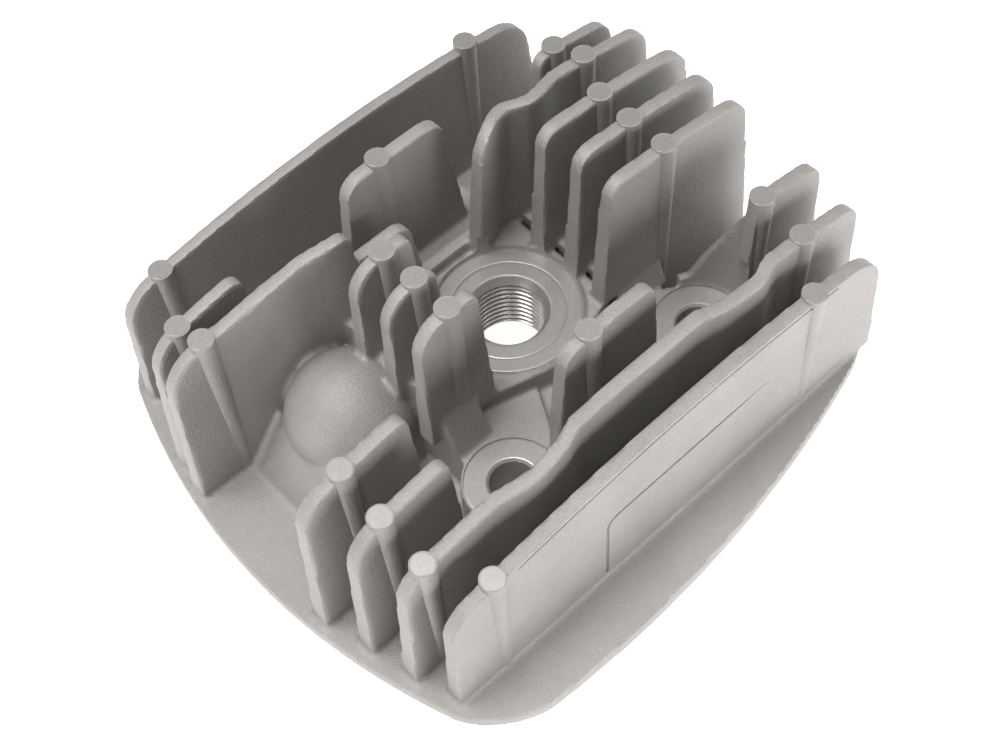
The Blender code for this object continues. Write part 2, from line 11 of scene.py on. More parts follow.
import bmesh
import bpy
import numpy as np
from mathutils import Matrix, Vector
from mathutils.geometry import convex_hull_2d

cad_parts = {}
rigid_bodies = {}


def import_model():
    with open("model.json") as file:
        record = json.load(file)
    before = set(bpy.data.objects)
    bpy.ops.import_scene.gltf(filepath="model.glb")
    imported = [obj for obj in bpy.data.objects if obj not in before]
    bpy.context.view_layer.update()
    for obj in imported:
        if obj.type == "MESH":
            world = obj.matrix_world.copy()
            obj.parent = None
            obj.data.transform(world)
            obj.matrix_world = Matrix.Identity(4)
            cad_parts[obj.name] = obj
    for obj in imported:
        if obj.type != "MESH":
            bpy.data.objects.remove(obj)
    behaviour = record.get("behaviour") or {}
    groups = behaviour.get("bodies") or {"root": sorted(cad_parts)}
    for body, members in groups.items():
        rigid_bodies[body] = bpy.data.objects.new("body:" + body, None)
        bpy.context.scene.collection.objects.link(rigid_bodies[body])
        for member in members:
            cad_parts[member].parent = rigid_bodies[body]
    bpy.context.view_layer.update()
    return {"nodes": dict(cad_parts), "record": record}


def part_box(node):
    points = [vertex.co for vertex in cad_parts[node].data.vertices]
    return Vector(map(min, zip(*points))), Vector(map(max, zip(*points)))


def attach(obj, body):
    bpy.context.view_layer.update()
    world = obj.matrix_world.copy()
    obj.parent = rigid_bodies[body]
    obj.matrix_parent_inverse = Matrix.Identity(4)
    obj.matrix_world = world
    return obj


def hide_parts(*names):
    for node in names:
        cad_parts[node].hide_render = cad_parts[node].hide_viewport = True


for startup in list(bpy.data.objects):
    bpy.data.objects.remove(startup, do_unlink=True)
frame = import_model()

MM = 0.001

# Places that come from the frame, in metres
openings = {box["name"]: box["box_m"] for box in frame["record"]["physics"]["openings"]}
mounts = {mount["name"]: mount["pos_m"] for mount in frame["record"]["mounts"]}


def middle(name):
    low, high = openings[name]
    return (Vector(low) + Vector(high)) / 2


plug = middle("plug_hole")
SEAT = Vector((plug.x, plug.y, mounts["plug_seat"][2]))


def seat_xy(point):
    return ((point[0] - SEAT.x) / MM, (point[1] - SEAT.y) / MM)


def seat_z(z):
    return (z - SEAT.z) / MM


STUDS = {
    name: seat_xy(middle("stud_hole_" + name))
    for name in ("front_left", "front_right", "back_right", "back_left")
}
BORE = (sum(s[0] for s in STUDS.values()) / 4, sum(s[1] for s in STUDS.values()) / 4)
NUT_FACE = seat_z(mounts["nut_face_front_left"][2])
GASKET = seat_z(0.0)
flange_low, flange_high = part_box("base_flange")
PLATE_TOP = seat_z(flange_high[2])
PLATE_BOTTOM = seat_z(flange_low[2])
FLANGE_LEFT, FLANGE_FRONT = seat_xy(flange_low)
FLANGE_RIGHT, FLANGE_BACK = seat_xy(flange_high)

# Quality of the cast skin
VOXEL = 0.45 * MM
SMOOTHING = 2

# Camera, measured from the seat
CAMERA_PLACE = (-99.13, -117.52, 217.56)
CAMERA_AZIMUTH = math.radians(50.716)
CAMERA_FALL = math.radians(57.147)
CAMERA_ROLL = math.radians(-4.528)
CAMERA_LENS = 55.91
SENSOR_WIDTH = 36.0

# Casting sizes, in millimetres
FLOOR = PLATE_BOTTOM + 0.6  # where everything on the flange starts, inside it
DECK_RADIUS = 39.0
CHAMBER_RADIUS = 20.0
CHAMBER_DEPTH = 8.0
BOSS_TOP = 0.15
BOSS_RADIUS = 14.2
BOSS_LEFT = -16.8
BOSS_RIGHT = 14.6
BOSS_FRONT = -9.9
BOSS_BACK = 12.6
SEAT_RIM_RADIUS = 13.1
SEAT_RIM_TOP = 1.0
SEAT_RING_RADIUS = 12.75
SEAT_RING_INNER = 10.12
SEAT_STEP_DEPTH = 0.18
PAD_TOP = -3.3
PAD_RADIUS = 8.6
PAD_WALL = 8.0
PAD_WALL_OUTER = 15.0
PAD_WALL_INNER = 4.6
PAD_WALL_END = 11.0
SPOT_RADIUS = 8.1
BACK_SPOT_RADIUS = 5.8
STUD_HOLE_RADIUS = 3.95
WEB_HALF = 14
WEB_INNER = 8
WEB_TOP = -4.6
WEB_FRONT = -29.0
BACK_WEB_TOP = -1.6
BACK_WEB_BACK = 27.5
CROWN = 30.4
CROWN_X = -0.5
CROWN_Y = -1.8
CROWN_CURVE_X = 0.002137
CROWN_CURVE_Y = 0.00735
TIP_HALF = 1.2
ROOT_GROWTH = 0.019  # how much a fin's half thickness grows per millimetre down
ROOT_OVERLAP = 0.9
STATION_STEP = 1.6
CORNER_STATIONS = (0.04, 0.1, 0.2, 0.34, 0.5, 0.7)  # shares of an end's corner radius
FIN_LEVELS = (0.0, 0.33, 0.66, 1.0)
FRONT_FIN = -41.2
PANEL_LEFT = -19.0
PANEL_LEVEL = 5.4
PANEL_CORNER = 2.4
LINE_RADIUS = 0.34
LINE_FADE_START = 6
LINE_FADE_LENGTH = 12
RIM_LINE_DROP = 0.95
RIM_LINE_RADIUS = 0.2
PIN_RADIUS = 2.0
PIN_RISE = 0.25
CAP_SKIM = 0.05
RIGHT_ROOT_TOP = 0.9
RIGHT_ROOT_END = 24.6
WELL_WALL_INNER = 8.3
WELL_WALL_OUTER = 9.9
WELL_WALL_TOP = 22.4
WELL_WALL_FALL = 0.355  # in millimetres per degree of its turn
WELL_WALL_END = -1.2
DOME = (-32.3, 4.0, -1.1)
DOME_RADIUS = 11.0
DOME_ROOT_RIGHT = 8.3
DOME_ROOT_HALF = 9.4
RAMP_TOE = -47.8
RAMP_CREST = -40.1
RAMP_TOP = -2.9
RAMP_REST = 1.8
RAMP_FORWARD = 9.3
RAMP_BACK = 14.6
CHAMBER_SPHERE = (CHAMBER_RADIUS**2 + CHAMBER_DEPTH**2) / (2 * CHAMBER_DEPTH)
CHAMBER_ROOF_DEPTH = -GASKET - CHAMBER_DEPTH - 0.8
GROOVE_PITCH = 0.55
GROOVE_DEPTH = 0.06
SKIM = 0.03  # how far the turned rings stand off the casting
SEAT_SIDES = 128
HOLE_BREAK = 0.4  # the small chamfer at the mouth of a stud hole
RING_SINK = 0.3
THREAD_PITCH = 1.25
THREAD_CREST = 6.3
THREAD_ROOT = 6.95
THREAD_STEPS = 10
THREAD_START = -0.45
CHAMFER_RADIUS = 7.3
ROUND = 96  # sides of the machined circles


def crown(x, y):
    return CROWN - CROWN_CURVE_X * (x - CROWN_X) ** 2 - CROWN_CURVE_Y * (y - CROWN_Y) ** 2


# ---------------------------------------------------------------- mesh helpers


def new_object(name, builder):
    bmesh.ops.recalc_face_normals(builder, faces=builder.faces)
    mesh = bpy.data.meshes.new(name)
    builder.to_mesh(mesh)
    builder.free()
    obj = bpy.data.objects.new(name, mesh)
    bpy.context.scene.collection.objects.link(obj)
    return obj


def place(builder):
    """From millimetres at the seat to metres in the row frame."""
    matrix = Matrix.Translation(SEAT) @ Matrix.Scale(MM, 4)
    bmesh.ops.transform(builder, matrix=matrix, verts=builder.verts)
    return builder


def loft(sections):
    """A closed body through a row of sections, each a list of points in the same order."""
    builder = bmesh.new()
    rows = [[builder.verts.new(point) for point in section] for section in sections]
    count = len(rows[0])
    for a, b in zip(rows, rows[1:]):
        for i in range(count):
            j = (i + 1) % count
            builder.faces.new((a[i], a[j], b[j], b[i]))
    builder.faces.new(rows[0])
    builder.faces.new(rows[-1][::-1])
    return builder


def prism(outline, bottom, top):
    return loft([[(x, y, z) for x, y in outline] for z in (bottom, top)])


def circle(x, y, radius, sides=64):
    step = 2 * math.pi / sides
    return [(x + radius * math.cos(i * step), y + radius * math.sin(i * step)) for i in range(sides)]


def hull(points):
    return [points[i] for i in convex_hull_2d([Vector(p) for p in points])]


def turned(profile, x, y, sides=ROUND):
    """A solid of revolution with flat ends, from (radius, z) pairs."""
    return loft([[(px, py, z) for px, py in circle(x, y, radius, sides)] for radius, z in profile])


def convex(points):
    builder = bmesh.new()
    for point in points:
        builder.verts.new(point)
    result = bmesh.ops.convex_hull(builder, input=builder.verts)
    spare = [item for item in result["geom_interior"] if isinstance(item, bmesh.types.BMVert)]
    bmesh.ops.delete(builder, geom=spare, context="VERTS")
    return builder


def ring_band(builder, rings):
    """Joins each ring of points to the next, and the last to the first."""
    count = len(rings[0])
    for a, b in zip(rings, rings[1:] + rings[:1]):
        for i in range(count):
            j = (i + 1) % count
            builder.faces.new((a[i], a[j], b[j], b[i]))


def smooth_step(t):
    t = min(max(t, 0.0), 1.0)
    return t * t * (3 - 2 * t)


def along(places, x):
    """Smooth interpolation through (x, value) pairs."""
    if x <= places[0][0]:
        return places[0][1]
    for (x0, v0), (x1, v1) in zip(places, places[1:]):
        if x <= x1:
            return v0 + (v1 - v0) * smooth_step((x - x0) / (x1 - x0))
    return places[-1][1]


# ---------------------------------------------------------------- the regions as solids

solids = []


def add(builder):
    solids.append(builder)


def side_arc(start, end, bulge, parts):
    """Points of a shallow parabola from start to just before end."""
    direction = end - start
    outward = Vector((direction.y, -direction.x)).normalized()
    points = []
    for i in range(parts):
        t = i / parts
        points.append(start + direction * t + outward * bulge * 4 * t * (1 - t))
    return points


# The flange is the CAD's: four shallow arcs with rounded corners
LEFT_BULGE, RIGHT_BULGE, FRONT_BULGE, BACK_BULGE = 10.9, 0.5, 5.8, 4.6
CORNER_RADIUS = 6.0
CORNER_PASSES = 16
CORNER_SPREAD = 103.0
LEFT_CORNER_INSET, FRONT_RIGHT_INSET, BACK_RIGHT_INSET = 1.5, 11.6, 8.0


def flange_outline():
    centre_y = (FLANGE_FRONT + FLANGE_BACK) / 2
    left = FLANGE_LEFT + LEFT_BULGE
    right = FLANGE_RIGHT - RIGHT_BULGE
    front, back = centre_y - CORNER_SPREAD / 2, centre_y + CORNER_SPREAD / 2
    front_left = Vector((left, front + LEFT_CORNER_INSET))
    front_right = Vector((right, front + FRONT_RIGHT_INSET))
    back_right = Vector((right, back - BACK_RIGHT_INSET))
    back_left = Vector((left, back - LEFT_CORNER_INSET))
    corners = (front_left, front_right, back_right, back_left)
    line = side_arc(front_left, front_right, FRONT_BULGE, 40)
    line += side_arc(front_right, back_right, RIGHT_BULGE, 30)
    line += side_arc(back_right, back_left, BACK_BULGE, 40)
    line += side_arc(back_left, front_left, LEFT_BULGE, 50)
    # Points near a corner are averaged with their neighbours until the corner is round.
    reach = []
    for point in line:
        distance = min((point - corner).length for corner in corners)
        reach.append(min(1.0, max(0.0, 1.4 - distance / CORNER_RADIUS)))
    for _ in range(CORNER_PASSES):
        moved = []
        for i, point in enumerate(line):
            mean = (line[i - 1] + line[(i + 1) % len(line)]) / 2
            moved.append(point.lerp(mean, 0.7 * reach[i]))
        line = moved
    return [(p.x, p.y) for p in line]


FLANGE = flange_outline()


def add_base():
    add(prism(FLANGE, PLATE_BOTTOM, PLATE_TOP))
    add(turned([(DECK_RADIUS, GASKET), (DECK_RADIUS, FLOOR)], *BORE))


def add_boss():
    """The plug boss: round, with four corners drawn out of it, and a rim round the seat."""
    points = circle(0, 0, BOSS_RADIUS)
    points += [(x, y) for x in (BOSS_LEFT, BOSS_RIGHT) for y in (BOSS_FRONT, BOSS_BACK)]
    add(prism(hull(points), FLOOR, BOSS_TOP))
    rim = [(SEAT_RIM_RADIUS, -2), (SEAT_RIM_RADIUS, SEAT_RIM_TOP - 0.25)]
    rim.append((SEAT_RIM_RADIUS - 0.7, SEAT_RIM_TOP))
    add(turned(rim, 0, 0))


def rectangle(x0, x1, y0, y1):
    return [(x0, y0), (x1, y0), (x1, y1), (x0, y1)]


def add_pads():
    """The four stud pads, each drawn out to the boss, and the webs between them."""
    for x, y in STUDS.values():
        side_x = -1 if x < 0 else 1
        side_y = -1 if y < 0 else 1
        points = circle(x, y, PAD_RADIUS)
        wall = ((PAD_WALL_OUTER, PAD_WALL), (PAD_WALL_INNER, PAD_WALL), (PAD_WALL_INNER, PAD_WALL_END))
        points += [(side_x * px, side_y * py) for px, py in wall]
        add(prism(hull(points), FLOOR, PAD_TOP))
    add(prism(rectangle(-WEB_HALF, WEB_HALF, WEB_FRONT, -WEB_INNER), FLOOR, WEB_TOP))
    add(prism(rectangle(-WEB_HALF, WEB_HALF, WEB_INNER, BACK_WEB_BACK), FLOOR, BACK_WEB_TOP))


def add_shoulders():
    # Each has its ends in X and its section in Y and Z.
    # Left: a ridge whose front face slopes steeply down to the stud pad
    ridge = ((-14.7, FLOOR), (13.2, FLOOR), (13.2, 8.2), (-1.0, 7.8), (-9.6, 8.4), (-14.7, -3.3))
    # Right: the low root of the long fins
    root = ((-13.1, FLOOR), (13.4, FLOOR), (13.4, 1.3), (-11.0, 1.3), (-13.1, -3.2))
    for ends, section in (((-24.6, -17.4), ridge), ((15.5, 25.5), root)):
        add(loft([[(x, y, z) for y, z in section] for x in ends]))


# Smaller balls, each with its own edge on the ramp, round off the corner between ramp and dome:
# share of the dome's size, share of the way up the ramp, and how far towards the front
DOME_BLENDS = ((0.78, 0.0, -2.4), (0.86, 0.3, -1.8), (0.93, 0.6, -1.2), (0.96, 0.85, -0.6))
BLEND_HALF = 8.6


def add_dome():
    """The blind boss: a dome, and the ramp that carries it out to the flange."""
    x, y, z = DOME
    ball = bmesh.new()
    bmesh.ops.create_icosphere(ball, subdivisions=5, radius=DOME_RADIUS)

    def ball_points(share=1.0, forward=0.0):
        points = []
        for vertex in ball.verts:
            px, py, pz = vertex.co
            points.append((px * share + x, py * share + y + forward, max(pz * share + z, FLOOR)))
        return points

    points = ball_points()
    right = x + DOME_ROOT_RIGHT
    points += [(right, y + side * DOME_ROOT_HALF, low) for side in (-1, 1) for low in (FLOOR, PLATE_TOP)]
    add(convex(points))
    for share, up, forward in DOME_BLENDS:
        edge_x = RAMP_TOE + (RAMP_CREST - RAMP_TOE) * up
        edge_z = PLATE_TOP + (RAMP_TOP - PLATE_TOP) * up
        points = ball_points(share, forward)
        points += [(edge_x, y + side * BLEND_HALF, low) for side in (-1, 1) for low in (FLOOR, edge_z)]
        add(convex(points))
    ball.free()
    wedge = [(RAMP_TOE, FLOOR), (RAMP_TOE, PLATE_TOP), (RAMP_CREST, RAMP_TOP)]
    wedge.append((RAMP_CREST + RAMP_REST, FLOOR))
    add(loft([[(px, py, pz) for px, pz in wedge] for py in (y - RAMP_FORWARD, RAMP_BACK)]))


def fin_stations(left, right, corners):
    """The places along a fin that have a section: evenly spread, and closer together in its rounded ends."""
    length = right - left
    count = max(6, round(length / STATION_STEP))
    stations = [left + length * (i / count) for i in range(count + 1)]
    for corner, start, sign in ((corners[0], left, 1), (corners[1], right, -1)):
        stations += [start + sign * corner * t for t in CORNER_STATIONS]
    return sorted(set(round(x, 3) for x in stations))


pins_made = []


def add_fin(line, ends, top=crown, foot=PLATE_TOP, corners=(5.0, 3.0), lean=(0.055, 0.055), pins=()):
    """A drafted fin. line gives (x, y) along its middle, ends its ends at the height of its tips, corners
    the radii there, lean how far the ends lean out, and pins the (x, height) of each ejector-pin mark."""
    foot_at = foot if callable(foot) else lambda x: foot
    left, right = ends
    length = right - left
    sections = []
    for x in fin_stations(left, right, corners):
        y = along(line, x)
        tip = top(x, y)
        base = foot_at(x)
        drop = 0.0
        for corner, distance in ((corners[0], x - left), (corners[1], right - x)):
            if distance < corner:
                drop += corner - math.sqrt(max(corner**2 - (corner - distance) ** 2, 0.0))
        tip_z = tip - min(drop, 0.85 * (tip - base))
        # The ends lean outwards on the way down, and the whole section shears with them.
        share = (x - left) / length
        shear = lean[1] * share - lean[0] * (1 - share)
        side = []
        for level in FIN_LEVELS:
            z = base - ROOT_OVERLAP + (tip_z - base + ROOT_OVERLAP) * level
            side.append((x + shear * (tip - z), TIP_HALF + ROOT_GROWTH * (tip - z), z))
        section = [(px, y - thick, z) for px, thick, z in side]
        section += [(px, y + thick, z) for px, thick, z in reversed(side)]
        sections.append(section)
    add(loft(sections))
    for x, height in pins:
        pins_made.append((x, along(line, x), height + PIN_RISE, foot_at(x)))


def pin_column(x, y, top, foot, sides=40):
    """The column that an ejector pin leaves on a fin, a little slimmer at its foot."""
    sections = []
    for radius, forward, z in ((PIN_RADIUS + 0.1, 0.1, top), (PIN_RADIUS - 0.15, 0.15, foot)):
        sections.append([(px, py, z) for px, py in circle(x, y - forward, radius, sides)])
    return loft(sections)


def right_foot(x):
    """The long fins stand on the right shoulder first, and on the flange beyond it."""
    return RIGHT_ROOT_TOP if x < RIGHT_ROOT_END else PLATE_TOP


def straight(y):
    return ((0, y),)


ROW_B = (
    (-48, -33.6), (-36, -33.7), (-26, -35.0), (-21, -34.6), (-17, -33.5),
    (8, -33.4), (16, -34.6), (21.5, -34.8), (26, -33.5), (45, -33.6),
)
ROW_F_LEFT = ((-56, 16.2), (-30, 15.4), (-22, 13.9))
ROW_F_RIGHT = ((7, 13.0), (14, 15.3), (19, 13.5), (27, 15.2), (40, 14.8))
# (y, right end, pin's height), and (y, left end, right end, pin's x, pin's height)
SHORT_FIN_LEFT = -26.3
SHORT_FIN_PIN = -19.7
SHORT_FINS = ((-9.2, -14.6, 29.5), (-1.8, -16.2, 29.9), (5.8, -14.7, 29.5))
RIGHT_FINS = ((-9.4, 13.7, 45.6, 26.6, 28.7), (-2.0, 14.4, 45.6, 26.3, 29.2), (5.7, 13.8, 47.0, 27.3, 28.6))
F_STEP_TOP = 19.4
F_LEDGE_TOP = 2.5
F_LEDGE_FOOT = -4.0


def add_fins():
    # Row A, in front
    pins = ((-41.1, 16.0), (28.1, 17.7))
    add_fin(straight(FRONT_FIN), (-50.2, 44.6), corners=(4.5, 8.0), lean=(0.03, 0.075), pins=pins)
    # Row B waves forward round the two front studs
    add_fin(ROW_B, (-52.0, 46.8), corners=(4.5, 4.0), pins=((-47.4, 18.6), (33.5, 20.8)))
    # Row C in three stretches
    add_fin(straight(-25.2), (-54.0, -35.2), corners=(5.0, 2.4), lean=(0.045, 0.06), pins=((-47.7, 22.0),))
    pins = ((-6.2, 26.5),)
    add_fin(straight(-25.4), (-11.9, 7.2), foot=WEB_TOP, corners=(3.4, 2.6), lean=(0.09, 0.07), pins=pins)
    add_fin(straight(-25.4), (30.6, 46.4), corners=(1.5, 3.6), pins=((32.6, 24.1),))
    # Row D, left only
    add_fin(straight(-16.5), (-56.0, -35.4), corners=(5.0, 2.4), lean=(0.05, 0.06), pins=((-47.5, 24.4),))
    # Short fins on the left shoulder
    for y, right, height in SHORT_FINS:
        pins = ((SHORT_FIN_PIN, height),)
        ends = (SHORT_FIN_LEFT, right)
        add_fin(straight(y), ends, foot=BOSS_TOP, corners=(5.0, 2.2), lean=(0.03, 0.06), pins=pins)
    # Long fins on the right
    for y, left, right, x, height in RIGHT_FINS:
        pins = ((x, height),)
        add_fin(straight(y), (left, right), corners=(3.2, 4.2), lean=(0.06, 0.09), pins=pins, foot=right_foot)
    # Row F
    add_fin(ROW_F_LEFT, (-55.6, -20.2), corners=(5.5, 2.6), lean=(0.06, 0.03), pins=((-48.0, 23.9),))
    step = {"top": lambda x, y: F_STEP_TOP, "foot": PAD_TOP}
    add_fin(straight(14.4), (-22.0, -8.6), corners=(0.5, 3.0), lean=(0.0, 0.11), **step)
    ledge = {"top": lambda x, y: F_LEDGE_TOP, "foot": F_LEDGE_FOOT}
    add_fin(straight(15.3), (-9.5, 8.0), corners=(1.5, 1.0), lean=(0.0, 0.0), **ledge)
    add_fin(ROW_F_RIGHT, (6.6, 47.0), corners=(5.5, 3.6), lean=(0.09, 0.06), pins=((32.8, 26.5),))
    # Row G in three stretches
    add_fin(straight(22.5), (-54.0, -36.1), corners=(5.0, 2.6), lean=(0.07, 0.05), pins=((-48.4, 21.2),))
    pins = ((-6.5, 26.2),)
    add_fin(straight(22.8), (-14.0, 6.4), foot=BACK_WEB_TOP, corners=(3.6, 3.0), lean=(0.09, 0.13), pins=pins)
    add_fin(straight(21.6), (28.0, 45.2), corners=(2.4, 3.6), pins=((32.1, 24.6),))
    # Row H, behind
    pins = ((-42.1, 15.2), (25.8, 18.6))
    add_fin(straight(37.9), (-50.2, 39.5), corners=(5.5, 6.0), lean=(0.07, 0.12), pins=pins)


def front_face(x, z):
    """Where the outer face of the front fin is, at a place along it."""
    return FRONT_FIN - TIP_HALF - ROOT_GROWTH * (crown(x, FRONT_FIN) - z)


def groove(places, radii, sides=8):
    """A fine round groove along (x, z) places on the front fin's outer face."""
    sections = []
    for i, ((x, z), radius) in enumerate(zip(places, radii)):
        (x0, z0), (x1, z1) = places[max(i - 1, 0)], places[min(i + 1, len(places) - 1)]
        length = math.hypot(x1 - x0, z1 - z0)
        side_x, side_z = (z0 - z1) / length, (x1 - x0) / length
        y = front_face(x, z)
        sections.append([(x + side_x * a, y + b, z + side_z * a) for a, b in circle(0, 0, radius, sides)])
    return loft(sections)


def panel_line():
    """The bent line low on the front fin's face, which fades out to the right."""
    places = [(PANEL_LEFT, PLATE_TOP + 1.2), (PANEL_LEFT, -4.0)]
    for i in range(9):
        angle = math.pi / 2 * i / 8
        turn_x = PANEL_LEFT + PANEL_CORNER * (1 - math.cos(angle))
        places.append((turn_x, PANEL_LEVEL - PANEL_CORNER * (1 - math.sin(angle))))
    places += [(x, PANEL_LEVEL) for x in range(-12, 19, 2)]
    fade = [smooth_step((x - LINE_FADE_START) / LINE_FADE_LENGTH) for x, _ in places]
    radii = [LINE_RADIUS * (1 - 0.8 * share) for share in fade]
    return groove(places, radii)


def rim_line():
    """The fine line below the front fin's rim, where the two halves of the mould met."""
    places = [(x, crown(x, FRONT_FIN) - RIM_LINE_DROP) for x in range(-37, 34, 2)]
    return groove(places, [RIM_LINE_RADIUS] * len(places))


def add_well_wall():
    """The thin wall that curls from a fin's end round the front right stud."""
    x, y = STUDS["front_right"]
    sections = []
    for turn in range(-14, 68, 3):
        angle = math.radians(turn)
        top = max(WELL_WALL_TOP - WELL_WALL_FALL * (turn + 11), WELL_WALL_END)
        inner, outer = WELL_WALL_INNER, WELL_WALL_OUTER
        points = ((inner, PLATE_TOP - 1), (inner, top), (outer, top), (outer, PLATE_TOP - 1))
        sections.append([(x + r * math.cos(angle), y + r * math.sin(angle), z) for r, z in points])
    add(loft(sections))


def joined(builders, triangulated=False):
    """Several bodies in one mesh, with the faces of more than four sides made triangles if asked."""
    whole = bmesh.new()
    for builder in builders:
        bmesh.ops.recalc_face_normals(builder, faces=builder.faces)
        if triangulated:
            bmesh.ops.triangulate(builder, faces=[f for f in builder.faces if len(f.verts) > 4])
        mesh = bpy.data.meshes.new("part")
        builder.to_mesh(mesh)
        builder.free()
        whole.from_mesh(mesh)
        bpy.data.meshes.remove(mesh)
    return whole


def melt():
    """Joins every solid into one closed skin, rounding each edge and root as a casting has them."""
    obj = new_object("casting", place(joined(solids, triangulated=True)))
    remesh = obj.modifiers.new("melt", "REMESH")
    remesh.mode = "VOXEL"
    remesh.voxel_size = VOXEL
    remesh.adaptivity = 0
    relax = obj.modifiers.new("relax", "SMOOTH")
    relax.factor = 0.5
    relax.iterations = SMOOTHING
    return obj


def baked(obj):
    """The object with its modifiers applied."""
    graph = bpy.context.evaluated_depsgraph_get()
    mesh = bpy.data.meshes.new_from_object(obj.evaluated_get(graph))
    obj.modifiers.clear()
    old = obj.data
    obj.data = mesh
    bpy.data.meshes.remove(old)
    return obj


def cut(obj, cutter, operation="DIFFERENCE"):
    modifier = obj.modifiers.new("cut", "BOOLEAN")
    modifier.operation = operation
    modifier.solver = "MANIFOLD"
    modifier.object = cutter
    baked(obj)
    bpy.data.objects.remove(cutter)
    return obj


def spot_radius(name):
    return SPOT_RADIUS if "front" in name else BACK_SPOT_RADIUS


def machine(obj):
    """Adds the pins' columns, then cuts the turned and drilled faces and the front fin's lines."""
    far = GASKET - 5
    bore = CHAMFER_RADIUS - 0.02
    seat = [(bore, far), (bore, -SEAT_STEP_DEPTH), (SEAT_RING_INNER - 0.12, -SEAT_STEP_DEPTH)]
    seat += [(SEAT_RING_INNER, 0.0), (SEAT_RING_RADIUS, 0.0)]
    seat += [(SEAT_RING_RADIUS + 0.3, 0.4), (SEAT_RING_RADIUS + 0.35, 5)]
    tools = [turned(seat, 0, 0, SEAT_SIDES)]
    for name, (x, y) in STUDS.items():
        radius = spot_radius(name)
        hole = [(STUD_HOLE_RADIUS, far), (STUD_HOLE_RADIUS, NUT_FACE - HOLE_BREAK)]
        hole.append((STUD_HOLE_RADIUS + HOLE_BREAK, NUT_FACE))
        face = [(radius, NUT_FACE), (radius + 0.05, NUT_FACE + 0.5), (radius + 0.05, 10)]
        tools.append(turned(hole + face, x, y))
    cut(obj, new_object("columns", place(joined([pin_column(*pin) for pin in pins_made]))), "UNION")
    cut(obj, new_object("tool", place(joined(tools))))
    cut(obj, new_object("tool", place(joined([panel_line(), rim_line()]))))
    # Combustion chamber, and the flat gasket face
    sphere = bmesh.new()
    bmesh.ops.create_uvsphere(sphere, u_segments=128, v_segments=256, radius=CHAMBER_SPHERE)
    centre = Vector((BORE[0], BORE[1], GASKET + CHAMBER_DEPTH - CHAMBER_SPHERE))
    bmesh.ops.translate(sphere, verts=sphere.verts, vec=centre)
    cut(obj, new_object("tool", place(sphere)))
    cut(obj, new_object("tool", place(prism(rectangle(-90, 90, -90, 90), GASKET - 10, GASKET))))


def thread_piece():
    """The tapped hole: a sleeve whose bore carries the thread as a true helix, with a chamfered mouth."""
    builder = bmesh.new()
    rows = []
    for i in range(int(CHAMBER_ROOF_DEPTH / THREAD_PITCH * THREAD_STEPS) + 1):
        z = THREAD_START - 0.9 - i * THREAD_PITCH / THREAD_STEPS
        fade = min(1.0, i / THREAD_STEPS)
        row = []
        for k in range(ROUND):
            angle = 2 * math.pi * k / ROUND
            phase = (i / THREAD_STEPS + k / ROUND) % 1.0
            wave = 0.5 - 0.5 * math.cos(2 * math.pi * phase)
            depth = min(1.0, max(0.0, 1.6 * wave - 0.3))
            radius = THREAD_CREST + (THREAD_ROOT - THREAD_CREST) * depth * fade
            row.append(builder.verts.new((radius * math.cos(angle), radius * math.sin(angle), z)))
        rows.append(row)
    # The outside of the sleeve, and its rounded mouth, as (radius past the chamfer's, z)
    end = rows[-1][0].co.z
    start = THREAD_START
    profile = ((0.25, end), (0.25, start), (0.1, start + 0.27), (-0.05, start + 0.25), (-0.25, start - 0.05))
    outline = []
    for past, z in profile:
        places = circle(0, 0, CHAMFER_RADIUS + past, ROUND)
        outline.append([builder.verts.new((x, y, z)) for x, y in places])
    ring_band(builder, outline + rows)
    return new_object("plug_thread", place(builder))


def grooved_ring(builder, x, y, inner, outer, z):
    """A turned ring with the fine concentric grooves that the tool leaves."""
    count = round((outer - inner) / GROOVE_PITCH)
    profile = [(inner, z - RING_SINK)]
    for i in range(2 * count + 1):
        rise = SKIM + (GROOVE_DEPTH if i % 2 else 0.0)
        profile.append((inner + (outer - inner) * i / (2 * count), z + rise))
    profile.append((outer, z - RING_SINK))
    rings = []
    for radius, height in profile:
        rings.append([builder.verts.new((px, py, height)) for px, py in circle(x, y, radius, ROUND)])
    ring_band(builder, rings)


def turned_rings():
    """The plug seat and the four nut faces, bright from the lathe."""
    builder = bmesh.new()
    grooved_ring(builder, 0, 0, SEAT_RING_INNER + 0.08, SEAT_RING_RADIUS - 0.04, 0.0)
    grooved_ring(builder, 0, 0, CHAMFER_RADIUS + 0.15, SEAT_RING_INNER - 0.17, -SEAT_STEP_DEPTH)
    for name, (x, y) in STUDS.items():
        grooved_ring(builder, x, y, STUD_HOLE_RADIUS + 0.45, spot_radius(name) - 0.04, NUT_FACE)
    return new_object("turned_faces", place(builder))


def pin_caps():
    """The flat ends of the ejector-pin columns, a hair's breadth proud of the fins."""
    builder = bmesh.new()
    for number, (x, y, z, _) in enumerate(pins_made):
        side = PIN_RADIUS * (1 + 0.03 * math.sin(number * 2.3))
        top = z + CAP_SKIM
        cap = turned([(side - 0.05, top - 0.6), (side, top - 0.14), (side - 0.14, top)], x, y - 0.1, 28)
        mesh = bpy.data.meshes.new("cap")
        cap.to_mesh(mesh)
        cap.free()
        builder.from_mesh(mesh)
        bpy.data.meshes.remove(mesh)
    return new_object("pin_faces", place(builder))


# ---------------------------------------------------------------- cutting the casting into its regions

